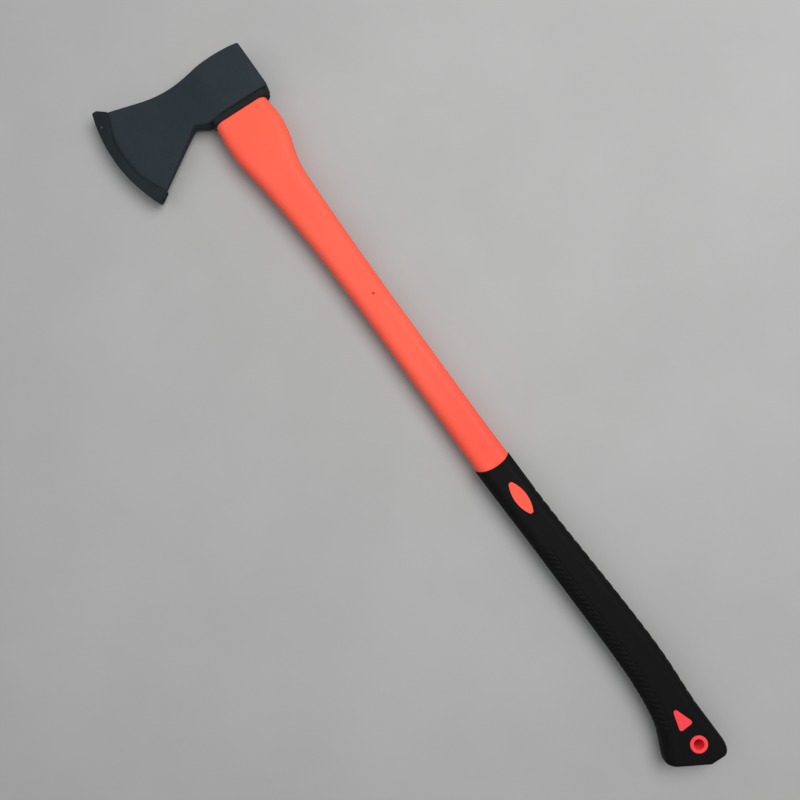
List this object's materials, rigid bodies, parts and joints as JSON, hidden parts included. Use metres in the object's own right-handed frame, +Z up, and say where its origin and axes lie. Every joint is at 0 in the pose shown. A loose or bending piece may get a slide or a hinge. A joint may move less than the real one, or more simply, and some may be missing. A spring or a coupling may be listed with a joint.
{
  "type": "fire axe",
  "caption": "Flat fire axe with a forged head, a glass-fibre core handle in a moulded jacket with a soft grip, and a push-on edge guard.",
  "frame": {"origin": "on the ground plane under the centre of the axe's bounding box, with the axe lying flat on its cheek", "axes": "+X from the butt of the handle to the top of the head, +Y toward the cutting edge, +Z up through the thickness"},
  "size_m": [0.8947, 0.2046, 0.032],
  "materials": {
    "head_paint": "matt dark slate paint on forged steel, with a bare ground bevel",
    "guard_plastic": "matt black flexible plastic",
    "collar_rubber": "matt black rubber",
    "resin": "poured amber epoxy",
    "core_composite": "sawn glass-fibre composite",
    "jacket_plastic": "satin moulded orange-red polypropylene",
    "grip_rubber": "matt black thermoplastic rubber with fine ribs"
  },
  "bodies": {
    "axe": {"axe_head": "head_paint", "shock_collar": "collar_rubber", "eye_resin": "resin", "fibreglass_core": "core_composite", "handle_jacket": "jacket_plastic", "grip_sleeve": "grip_rubber"},
    "guard": {"edge_guard": "guard_plastic"}
  },
  "joints": [
    {"name": "guard_slide", "type": "slide", "parent": "axe", "child": "guard", "axis": [0, 1, 0], "range_m": [0, 0.04]}
  ]
}
